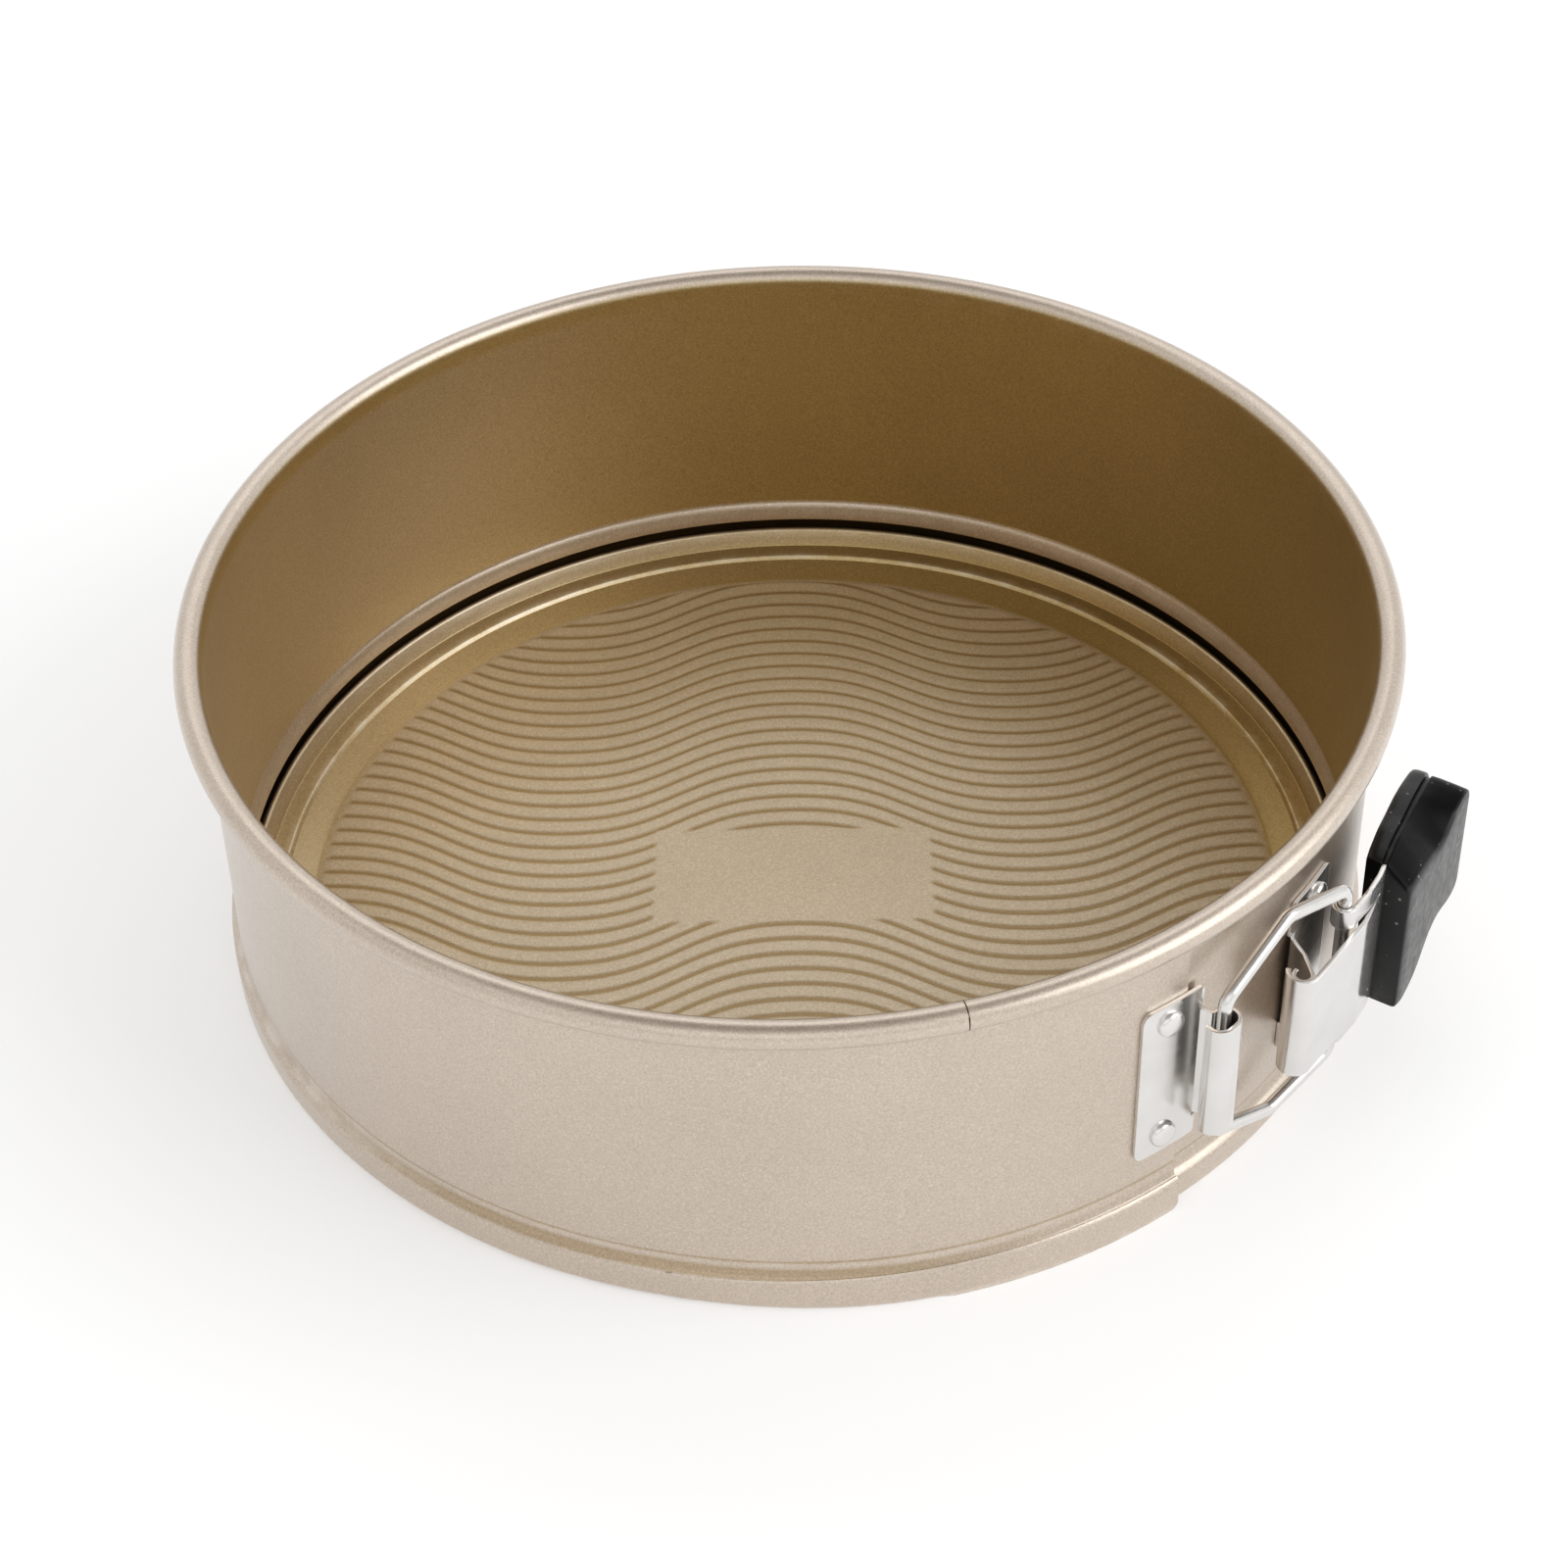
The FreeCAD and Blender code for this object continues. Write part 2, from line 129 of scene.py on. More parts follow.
def resample(points, spacing):
    """adds points so that no step is longer than spacing"""
    points = [np.array(p, float) for p in points]
    out = [points[0]]
    for a, b in zip(points, points[1:]):
        count = max(1, int(math.ceil(np.linalg.norm(b - a) / spacing)))
        out += [a + (b - a) * k / count for k in range(1, count + 1)]
    return out


def right_normals(points):
    """normals to the right of a 2D polyline, lengthened to keep the sheet even at corners"""
    ahead = np.diff(np.array(points, float), axis=0)
    ahead /= np.linalg.norm(ahead, axis=1)[:, None]
    normal = np.stack([ahead[:, 1], -ahead[:, 0]], 1)
    out = np.zeros((len(points), 2))
    out[0], out[-1] = normal[0], normal[-1]
    both = normal[:-1] + normal[1:]
    out[1:-1] = both / (1.0 + (normal[:-1] * normal[1:]).sum(1))[:, None]
    return out


def monotone(table, x):
    """smooth curve through a table of (x, y) that doesn't overshoot"""
    xs, ys = np.array(table, float).T
    gap, rate = np.diff(xs), np.diff(ys) / np.diff(xs)
    slope = np.zeros(len(xs))
    slope[0], slope[-1] = rate[0], rate[-1]
    for i in range(1, len(xs) - 1):
        if rate[i - 1] * rate[i] > 0:
            w1, w2 = 2 * gap[i] + gap[i - 1], gap[i] + 2 * gap[i - 1]
            slope[i] = (w1 + w2) / (w1 / rate[i - 1] + w2 / rate[i])
    i = int(np.clip(np.searchsorted(xs, x) - 1, 0, len(xs) - 2))
    t = (x - xs[i]) / gap[i]
    return float((2 * t ** 3 - 3 * t * t + 1) * ys[i]
                 + (t ** 3 - 2 * t * t + t) * gap[i] * slope[i]
                 + (3 * t * t - 2 * t ** 3) * ys[i + 1]
                 + (t ** 3 - t * t) * gap[i] * slope[i + 1])


# ------------------------------------------------------------------ meshes
def make(name, verts, faces, material):
    """smooth-shaded object from points in mm"""
    mesh = bpy.data.meshes.new(name)
    mesh.from_pydata([tuple(float(c) * MM for c in v) for v in verts], [],
                     [tuple(int(i) for i in f) for f in faces])
    mesh.validate()
    mesh.update()
    mesh.materials.append(material)
    mesh.polygons.foreach_set("use_smooth", [True] * len(mesh.polygons))
    obj = bpy.data.objects.new(name, mesh)
    bpy.context.scene.collection.objects.link(obj)
    return obj


def add_attribute(obj, name, values):
    layer = obj.data.attributes.new(name, "FLOAT", "POINT")
    layer.data.foreach_set("value", np.asarray(values, np.float32))


@contextmanager
def editing(obj):
    """the object's mesh as a bmesh, written back at the end"""
    bm = bmesh.new()
    bm.from_mesh(obj.data)
    yield bm
    bm.to_mesh(obj.data)
    bm.free()


def fix_normals(obj):
    with editing(obj) as bm:
        bmesh.ops.recalc_face_normals(bm, faces=bm.faces)


def sharpen(obj, degrees):
    """breaks the smooth shading at edges that turn by more than this"""
    limit = math.radians(degrees)
    with editing(obj) as bm:
        for edge in bm.edges:
            if len(edge.link_faces) == 2:
                edge.smooth = edge.calc_face_angle(0) < limit


def loft(rings):
    """quads between closed rings of vertex numbers"""
    faces = []
    for a, b in zip(rings, rings[1:]):
        for k in range(len(a)):
            k2 = (k + 1) % len(a)
            faces.append([a[k], a[k2], b[k2], b[k]])
    return faces


# ------------------------------------------------------------------ materials
class Nodes:
    """The node tree of a material or world, with short calls for its nodes."""

    def __init__(self, owner, output, shader):
        owner.use_nodes = True
        self.tree = owner.node_tree
        self.tree.nodes.clear()
        output_node = self.add(output)
        self.shader = self.add(shader)
        self.feed(output_node.inputs["Surface"], self.shader.outputs[0])
        self.coords = self.add("ShaderNodeTexCoord").outputs

    def feed(self, socket, value):
        """links a socket, or sets its value; colours are given as RGB"""
        if isinstance(value, bpy.types.NodeSocket):
            self.tree.links.new(value, socket)
        else:
            socket.default_value = (*value, 1) if socket.type == "RGBA" else value

    def add(self, kind, inputs=None, **settings):
        node = self.tree.nodes.new(kind)
        for name, value in settings.items():
            setattr(node, name, value)
        for key, value in (inputs or {}).items():
            self.feed(node.inputs[key], value)
        return node

    def surface(self, inputs):
        """sets inputs of the final shader"""
        for name, value in inputs.items():
            self.feed(self.shader.inputs[name], value)

    def noise(self, scale, detail=3.0, rough=0.55, stretch=None):
        vector = self.coords["Object"]
        if stretch:
            mapping = self.add("ShaderNodeMapping", {"Scale": stretch, "Vector": vector})
            vector = mapping.outputs["Vector"]
        return self.add("ShaderNodeTexNoise", {"Scale": scale, "Detail": detail,
                                               "Roughness": rough, "Vector": vector}).outputs["Fac"]

    def voronoi(self, scale, output):
        inputs = {"Scale": scale, "Vector": self.coords["Object"]}
        return self.add("ShaderNodeTexVoronoi", inputs).outputs[output]

    def ramp(self, source, stops):
        """stops are (position, tone), where a tone is a grey level or an RGB"""
        node = self.add("ShaderNodeValToRGB", {"Fac": source})
        elements = node.color_ramp.elements
        while len(elements) < len(stops):
            elements.new(0.5)
        for element, (position, tone) in zip(elements, stops):
            element.position = position
            element.color = (*(tone if isinstance(tone, tuple) else (tone,) * 3), 1)
        return node.outputs["Color"]

    def mix(self, factor, a, b, mode="MIX"):
        # a colour mix has its factor at input 0, its colours at 6 and 7, its result at 2
        return self.add("ShaderNodeMix", {0: factor, 6: a, 7: b},
                        data_type="RGBA", blend_type=mode).outputs[2]

    def multiply(self, a, b, factor=1.0):
        return self.mix(factor, a, b, "MULTIPLY")

    def math(self, operation, a, b, clamp=False):
        return self.add("ShaderNodeMath", {0: a, 1: b},
                        operation=operation, use_clamp=clamp).outputs[0]

    def scaled(self, value, by, clamp=False):
        return self.math("MULTIPLY", value, by, clamp)

    def bump(self, height, strength, distance):
        return self.add("ShaderNodeBump", {"Strength": strength, "Distance": distance,
                                           "Height": height}).outputs["Normal"]

    def attribute(self, name):
        return self.add("ShaderNodeAttribute", attribute_name=name).outputs["Fac"]


def new_material(name):
    material = bpy.data.materials.new(name)
    return material, Nodes(material, "ShaderNodeOutputMaterial", "ShaderNodeBsdfPrincipled")


def coat_material():
    """champagne release coating with a fine metallic grain

    Attributes: the painted-light tone blends the inner colour into the paler outer one
    (painted light); the painted shade darkens it; 'matte' dulls it; 'edge' wears it
    and also paints highlights.
    """
    material, n = new_material("champagne_coating")
    # one coating twice: inner is its colour deepened as painted shade from the tin's own reflections, outer
    # is it paled by a painted sheen
    inner, outer = (0.45, 0.335, 0.155), (0.543, 0.457, 0.376)
    base = n.mix(n.attribute("painted_light"), inner, outer)
    # broad mottling of the sprayed coat
    base = n.multiply(base, n.ramp(n.noise(scale=26, detail=4), [(0.30, 0.965), (0.70, 1.03)]))
    # fine flakes, two sizes
    fine = n.ramp(n.noise(scale=2400, detail=2, rough=0.6),
                  [(0.30, (0.79, 0.775, 0.76)), (0.52, 1.0), (0.72, (1.20, 1.20, 1.22))])
    base = n.multiply(base, fine, factor=0.75)
    flakes = n.ramp(n.voronoi(scale=2900, output="Color"),
                    [(0.0, 0.84), (0.85, 1.0), (1.0, (1.28, 1.26, 1.22))])
    base = n.multiply(base, flakes, factor=0.6)
    painted_shade_tint, matte_tint, wear_and_highlight_colour = (0.60, 0.505, 0.32), (1.07, 1.07, 1.05), (0.80, 0.74, 0.66)
    # painted shade: darker in the pressed grooves, inside the skirt, in the crease, on part of the shoulder
    # and on the base's rings and rim
    base = n.mix(n.attribute("painted_shade"), base, n.multiply(base, painted_shade_tint))
    matte = n.attribute("matte")
    base = n.mix(matte, base, n.multiply(base, matte_tint))
    # coating rubbed thinner and brighter along the folded edges; the same mask also paints highlights on the
    # band's left shoulder and the base's step
    patches = n.ramp(n.noise(scale=160, detail=5), [(0.40, 0), (0.62, 1)])
    wear_and_highlight = n.scaled(n.attribute("edge"), by=patches, clamp=True)
    base = n.mix(n.scaled(wear_and_highlight, by=0.35), base, wear_and_highlight_colour)
    rough = n.ramp(n.noise(scale=420, detail=3), [(0.25, 0.35), (0.75, 0.42)])
    rough = n.math("SUBTRACT", rough, n.scaled(n.attribute("painted_light"), by=0.07))
    rough = n.math("ADD", rough, n.scaled(matte, by=0.17))
    grain = n.math("ADD", n.noise(scale=2000, detail=3, rough=0.65),
                   n.scaled(n.noise(scale=300, detail=2), by=0.5))
    n.surface({
        "Base Color": base,
        "Metallic": n.math("SUBTRACT", 0.78, n.scaled(matte, by=0.30)),
        "Coat Weight": 0.8,
        "Coat Roughness": 0.42,
        "Roughness": rough,
        "Normal": n.bump(grain, strength=0.30, distance=0.00006),
    })
    return material


def nickel_material():
    """bright plated steel, a little clouded and smeared"""
    material, n = new_material("bright_nickel")
    smear = n.noise(scale=240, detail=5, rough=0.65, stretch=(1, 1, 5))
    streaks = n.noise(scale=1600, detail=2, rough=0.5, stretch=(1, 1, 0.12))
    relief = n.math("ADD", n.noise(scale=60, detail=2), n.scaled(streaks, by=0.05))
    n.surface({
        "Base Color": n.ramp(n.noise(scale=90, detail=5, rough=0.6),
                             [(0.30, (0.66, 0.645, 0.625)), (0.70, (0.74, 0.725, 0.71))]),
        "Metallic": 0.88,
        "Roughness": n.ramp(smear, [(0.30, 0.16), (0.75, 0.27)]),
        "Normal": n.bump(relief, strength=0.25, distance=0.00022),
    })
    return material


def grip_material():
    """black moulded plastic with fine texture and a little dust; 'facet' shines less, a painted shade"""
    material, n = new_material("black_moulded_grip")
    specks = n.ramp(n.voronoi(scale=420, output="Distance"), [(0.0, 1), (0.12, 0.5), (0.17, 0)])
    chosen = n.ramp(n.noise(scale=330, detail=1), [(0.48, 0), (0.54, 1)])
    dust = n.scaled(specks, by=chosen, clamp=True)
    mottle = n.ramp(n.noise(scale=70, detail=5),
                    [(0.35, (0.004, 0.004, 0.0042)), (0.68, (0.009, 0.009, 0.0096))])
    dust_colour = (0.55, 0.55, 0.56)
    n.surface({
        "Base Color": n.mix(n.scaled(dust, by=0.38), mottle, dust_colour),
        "Roughness": n.ramp(n.noise(scale=500, detail=4), [(0.3, 0.30), (0.7, 0.42)]),
        # painted shade: the upper facet reflects less, so it looks darker
        "Specular IOR Level": n.math("SUBTRACT", 0.5, n.scaled(n.attribute("facet"), by=0.38)),
        "Normal": n.bump(n.noise(scale=1500, detail=3, rough=0.6),
                         strength=0.30, distance=0.00008),
    })
    return material


def table_material():
    material, n = new_material("pale_table")
    n.surface({
        "Base Color": n.ramp(n.noise(scale=3, detail=2), [(0.3, 0.86), (0.7, 0.88)]),
        "Roughness": 0.85,
        "Specular IOR Level": 0.2,
        "Emission Color": (1, 1, 1),
        "Emission Strength": 0.215,
    })
    return material


# ------------------------------------------------------------------ side band
# One strip with overlapping ends. Its azimuths run from the seam once round, then on as a
# tongue that lies outside the strip's own start. A slit parts the tongue from the rim.
SKIRT_R = 116.5
ROLL_R = 2.3
ROLL_CENTRE_R = BAND_R + ROLL_R
ROLL_CENTRE_Z = 72.3
SLIT_Z = 68.6
SLIT_AZ = 280.0
SEAM_AZ = -76.0
SEAM_GAP = 0.06
SEAM_END_AZ = 360 + SEAM_AZ - SEAM_GAP
TONGUE_END_AZ = 360 - 53.2
LIP_R = 115.0                   # rows up to here are the lip under the tin
CORNER_Z = 1.75                 # rows up to here are the skirt's lower corner
END_CORNER_R = 1.8
BLEND_AZ = (40.0, 214.0)        # where the band passes from the right ring to the left

# Outer face where the skirt meets the wall, as (radius, z): down from the wall a crease, a
# narrow strip and a hollow shoulder. It takes the place of rows from SHOULDER_START upward.
SHOULDER_START = (116.205, 6.840)
SHOULDER = np.array([
    (116.469, 7.141), (116.05, 7.50), (115.75, 7.85), (115.70, 7.92), (115.58, 8.12),
    (115.54, 8.22), (115.50, 8.32), (115.46, 8.44), (115.42, 8.56), (115.38, 8.72),
    (115.34, 8.92), (115.31, 9.12), (115.28, 9.40), (115.22, 10.00), (115.16, 10.60),
    (115.10, 11.15), (WALL_OUT, 11.32), (WALL_OUT, 12.0), (WALL_OUT, 12.9), (WALL_OUT, 13.22)])


def band_profile():
    """mid-sheet (radius, z) points, from the lip up the wall and over the rim; slit's row"""
    nose_r, nose_z, hollow_r = 113.72, 8.9, 6.4
    hollow = [(nose_r + hollow_r * (1 - math.cos(math.radians(a))),
               nose_z + hollow_r * math.sin(math.radians(a))) for a in (0, 6, 12, 18, 24, 30, 37)]
    skirt = [(112.0, HALF), (SKIRT_R, HALF), (SKIRT_R, 6.6), (114.35, 8.1), (nose_r, 8.45)]
    points = resample(fillet(skirt + hollow + [(BAND_R, 13.2)],
                             [0, 1.3, 0.8, 1.0, 0.35] + [0] * len(hollow), 9), 1.3)
    heights = (16, 21, 26, 31, 36, 41, 46, 51, 55, 59, 63, 66, SLIT_Z)
    points += [(BAND_R, z) for z in heights]
    slit = len(points) - 1
    points += [(BAND_R, SLIT_Z + 0.25), (BAND_R, 70.5)]
    points += arc(ROLL_CENTRE_R, ROLL_CENTRE_Z, ROLL_R, 180, -120, 12)
    return np.array(points), slit


def band_sides(profile, az, lip_end, slit, shoulder_row):
    """grids of points for the outer and the inner face, azimuths by profile rows"""
    rows = np.arange(len(profile))
    az_column = az[:, None]
    z_row = profile[None, :, 1]
    # the outer layer's stand-off: it eases in later near the rim, and is larger on the skirt
    step = smooth(252, 284, az_column)
    near_rim = smooth(50, 68.0, z_row)
    stand_off = TONGUE_STEP * step * (1 - near_rim * (1 - smooth(280, 283.6, az_column)))
    stand_off = stand_off + 0.45 * step * (1 - smooth(6.0, 12.5, z_row))
    stand_off = stand_off * (rows <= slit)
    radius, height, normal_r, normal_z = (
        np.tile(v, (len(az), 1)) for v in (*profile.T, *right_normals(profile).T))
    # the tongue has no lip: its lower corner straightens
    corner = np.where((profile[:, 1] < CORNER_Z) & (rows >= lip_end))[0]
    share = (corner - corner[0]) / (corner[-1] - corner[0])
    straight_z = 0.05 + share * (profile[corner[-1], 1] - 0.05)
    straighten = smooth(279.0, 283.6, az_column)
    for grid, straight in ((radius, SKIRT_R), (height, straight_z),
                           (normal_r, 1.0), (normal_z, 0.0)):
        grid[:, corner] = grid[:, corner] * (1 - straighten) + straight * straighten
    # rounded lower corner of the free end
    depth = np.clip(END_CORNER_R - height, 0, END_CORNER_R)
    setback = END_CORNER_R - np.sqrt(END_CORNER_R ** 2 - depth ** 2)
    near_end = np.clip((az_column - (TONGUE_END_AZ - 6)) / 6.0, 0, 1)
    angle = np.radians(az_column - np.degrees(setback / SKIRT_R) * near_end)
    shoulder_rows = slice(shoulder_row, shoulder_row + len(SHOULDER))
    sides = []
    for sign in (1, -1):
        side_r = radius + normal_r * (stand_off + sign * HALF)
        side_z = np.maximum(height + normal_z * (stand_off + sign * HALF), 0.0)
        if sign == 1:
            side_r[:, shoulder_rows] = SHOULDER[:, 0] + stand_off[:, shoulder_rows]
            side_z[:, shoulder_rows] = SHOULDER[:, 1]
        sides.append(np.stack([side_r * np.cos(angle), side_r * np.sin(angle), side_z], -1))
    return sides


def band_tones(is_outer, az, point, in_roll, step):
    """painted-light tone, wear with painted highlights ('edge') and painted shade at a point; step is its
    row counted from the shoulder
    """
    z = point[1]
    if is_outer:
        painted_light = 1.0
    elif in_roll:
        # the sheet's inner side shows on the roll: over the top it takes the outer face's paler,
        # painted-light tone
        angle = math.degrees(math.atan2(z - ROLL_CENTRE_Z, point[0] - ROLL_CENTRE_R))
        if angle < -90:
            angle += 360
        painted_light = 1.0 - float(smooth(135, 178, angle))
    else:
        # painted light: the inner wall is paler towards the left and back-left
        painted_light = max(0.46 * window(az, (85, 140), (205, 245)),
                      # painted highlight on the inward bead's band near the foot
                      0.95 * window(z, (8.0, 8.5), (12.6, 13.2)))
    # worn along the shoulder and the foot
    edge = math.exp(-((z - 10.4) / 0.9) ** 2) * 0.5 + math.exp(-((z - 0.3) / 0.7) ** 2)
    if in_roll:
        edge = 0.12
    # painted highlight on the outer shoulder towards the left
    if is_outer and 0 < step < 15:
        edge = max(edge, 0.95 * window(az, (150, 185), (212, 240)))
    # painted shade inside the skirt, in the crease, and on part of the shoulder
    if not is_outer:
        painted_shade = float(1 - smooth(8.1, 8.5, z))
    elif not 0 < step < 17:
        painted_shade = 0.0
    elif step >= 15:
        painted_shade = 0.8
    else:
        painted_shade = ((0.06 + 0.60 * window(az, (205, 240), (274, 300)))
                  * float(1 - smooth(9.0, 9.9, SHOULDER[step][1])))
    return painted_light, min(1.0, edge), painted_shade


def build_band():
    profile, slit = band_profile()
    az = np.concatenate([
        np.arange(SEAM_AZ + SEAM_GAP, 256.0, 0.75), np.arange(256.0, SLIT_AZ, 0.5),
        np.linspace(SLIT_AZ, SEAM_END_AZ, 9), np.linspace(SEAM_END_AZ, TONGUE_END_AZ, 34)[1:]])
    lip_end = int(np.argmax(profile[:, 0] > LIP_R))
    shoulder_row = int(np.argmin(np.hypot(*(profile - SHOULDER_START).T)))
    sides = band_sides(profile, az, lip_end, slit, shoulder_row)
    # the column where each row of faces ends
    slit_column = int(np.argmin(abs(az - SLIT_AZ)))
    row_end = np.full(len(profile) - 1, int(np.argmin(abs(az - SEAM_END_AZ))))
    row_end[:lip_end] = slit_column
    row_end[lip_end:slit] = len(az) - 1
    row_end[slit] = slit_column
    az_weight = smooth(*BLEND_AZ, az)
    index, verts, tones, weights = {}, [], [], []

    def vertex(side, i, j):
        key = (side, i, j)
        if key not in index:
            index[key] = len(verts)
            verts.append(sides[side][i, j])
            tones.append(band_tones(side == 0, az[i], profile[j], j > slit + 1, j - shoulder_row))
            weights.append(az_weight[i])
        return index[key]

    faces = []
    edge_uses = {}
    for i in range(len(az) - 1):
        for j in range(len(profile) - 1):
            if i >= row_end[j]:
                continue
            quad = [(i, j), (i + 1, j), (i + 1, j + 1), (i, j + 1)]
            faces.append([vertex(0, *c) for c in quad])
            faces.append([vertex(1, *c) for c in reversed(quad)])
            for a, b in zip(quad, quad[1:] + quad[:1]):
                edge_uses.setdefault((min(a, b), max(a, b)), []).append((a, b))
    # the sheet's cut edges
    for uses in edge_uses.values():
        if len(uses) == 1:
            a, b = uses[0]
            faces.append([vertex(0, *b), vertex(0, *a), vertex(1, *a), vertex(1, *b)])
    obj = make("side_band", verts, faces, coat)
    for name, values in zip(("painted_light", "edge", "painted_shade"), zip(*tones)):
        add_attribute(obj, name, values)
    sharpen(obj, 50)
    ends = [(BAND_R * MM * math.cos(math.radians(a)), BAND_R * MM * math.sin(math.radians(a)), 0.03)
            for a in BLEND_AZ]
    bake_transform(obj, "ring_right", "ring_left", *ends)
    # the blend follows the azimuth instead of the straight line between its ends
    layer = obj.data.attributes["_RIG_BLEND"]
    layer.data.foreach_set("value", np.array(weights, np.float32))
    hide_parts("side_band_right", "side_band_left")


# ------------------------------------------------------------------ base plate
GROOVE_PITCH = 4.42
GROOVE_Y0 = 15.85
GROOVE_NUMBERS = range(-26, 27)
# grid rows about each groove, in pitches from its middle
GROOVE_ROWS = [-0.5, -0.33, -0.245, -0.185, -0.135, -0.09, -0.045,
               0.0, 0.045, 0.09, 0.135, 0.185, 0.245, 0.33]
RIDGE = 0.20
TILT = -0.0171                  # slope of the pattern, and radians for the panel
PANEL_X, PANEL_Y = (-29.0, 28.6), (-13.9, 13.6)
PATCH_R = 99.9                  # grooved middle of the plate
PATCH_TONE = 0.66
RING_SEGMENTS = 360


def wave(x):
    """y of a groove's line along x"""
    phase = 2 * np.pi * (x - 0.17) / 98.9
    return (-7.8438 + 8.2629 * np.cos(phase) + 0.0092 * np.cos(2 * phase)
            - 0.4666 * np.cos(3 * phase) + TILT * x)


def panel_distance(x, y):
    """distance outside the plain panel, negative inside"""
    turned = (x * math.cos(TILT) + y * math.sin(TILT), -x * math.sin(TILT) + y * math.cos(TILT))
    return np.maximum(*(np.abs(c - (lo + hi) / 2) - (hi - lo) / 2
                        for c, (lo, hi) in zip(turned, (PANEL_X, PANEL_Y))))


def groove_patch():
    """the grooved disc as (x, y, height, painted shade) points, its faces, and its rim's points"""
    # rows follow the pressed grooves, so that every groove is clean
    lines = [(k, f) for k in GROOVE_NUMBERS for f in GROOVE_ROWS] + [(GROOVE_NUMBERS.stop, -0.5)]
    number, offset = np.array(lines, float).T
    # finer columns where the grooves end at the panel
    xs = np.unique(np.round(np.concatenate([
        np.arange(-102.0, 102.01, 1.0), np.arange(-31.0, -26.9, 0.5), np.arange(26.0, 31.1, 0.5),
        np.arange(-24, -11, 0.5), np.arange(12, 25, 0.5)]), 4))
    x_grid, turn = np.meshgrid(xs, number + offset)
    y_grid = GROOVE_Y0 + GROOVE_PITCH * turn + wave(x_grid)
    cut = np.exp(-np.abs(offset[:, None] * GROOVE_PITCH / 0.62) ** 2.2)
    # the groove's profile sets both its depth and the painted shade in it
    painted_shade = cut * smooth(-0.2, 1.0, panel_distance(x_grid, y_grid))
    radius = np.hypot(x_grid, y_grid)
    fade = 1 - smooth(PATCH_R - 1.1, PATCH_R - 0.15, radius)
    height = RIDGE * (1 - painted_shade) * fade
    inside = radius < PATCH_R
    points, index, crossings = [], {}, {}

    def grid_point(c):
        if c not in index:
            index[c] = len(points)
            points.append((x_grid[c], y_grid[c], height[c], painted_shade[c] * fade[c]))
        return index[c]

    def crossing(a, b):
        """point where the grid edge from a to b meets the patch's rim"""
        key = (min(a, b), max(a, b))
        if key not in crossings:
            near, far = (np.array([x_grid[c], y_grid[c]]) for c in ((a, b) if inside[a] else (b, a)))
            for _ in range(24):
                middle = (near + far) / 2
                if np.hypot(*middle) < PATCH_R:
                    near = middle
                else:
                    far = middle
            crossings[key] = len(points)
            points.append((*(near / np.hypot(*near) * PATCH_R), 0.0, 0.0))
        return crossings[key]

    faces = []
    for i in range(x_grid.shape[0] - 1):
        for j in range(x_grid.shape[1] - 1):
            quad = [(i, j), (i, j + 1), (i + 1, j + 1), (i + 1, j)]
            polygon = []
            for a, b in zip(quad, quad[1:] + quad[:1]):
                if inside[a]:
                    polygon.append(grid_point(a))
                if inside[a] != inside[b]:
                    polygon.append(crossing(a, b))
            if len(polygon) >= 3:
                faces.append(polygon)
    return np.array(points), faces, list(crossings.values())


def zip_rings(rim, rim_angles, ring, ring_angles):
    """triangles between two rings with different counts, both sorted by angle"""
    def next_angle(angles, i):
        return angles[(i + 1) % len(angles)] + (2 * math.pi if i + 1 >= len(angles) else 0)

    faces = []
    i = j = 0
    while i < len(rim) or j < len(ring):
        face = [rim[i % len(rim)], ring[j % len(ring)]]
        rim_first = next_angle(rim_angles, i) <= next_angle(ring_angles, j)
        if i < len(rim) and (rim_first or j >= len(ring)):
            i += 1
            face.append(rim[i % len(rim)])
        else:
            j += 1
            face.append(ring[j % len(ring)])
        faces.append(face)
    return faces


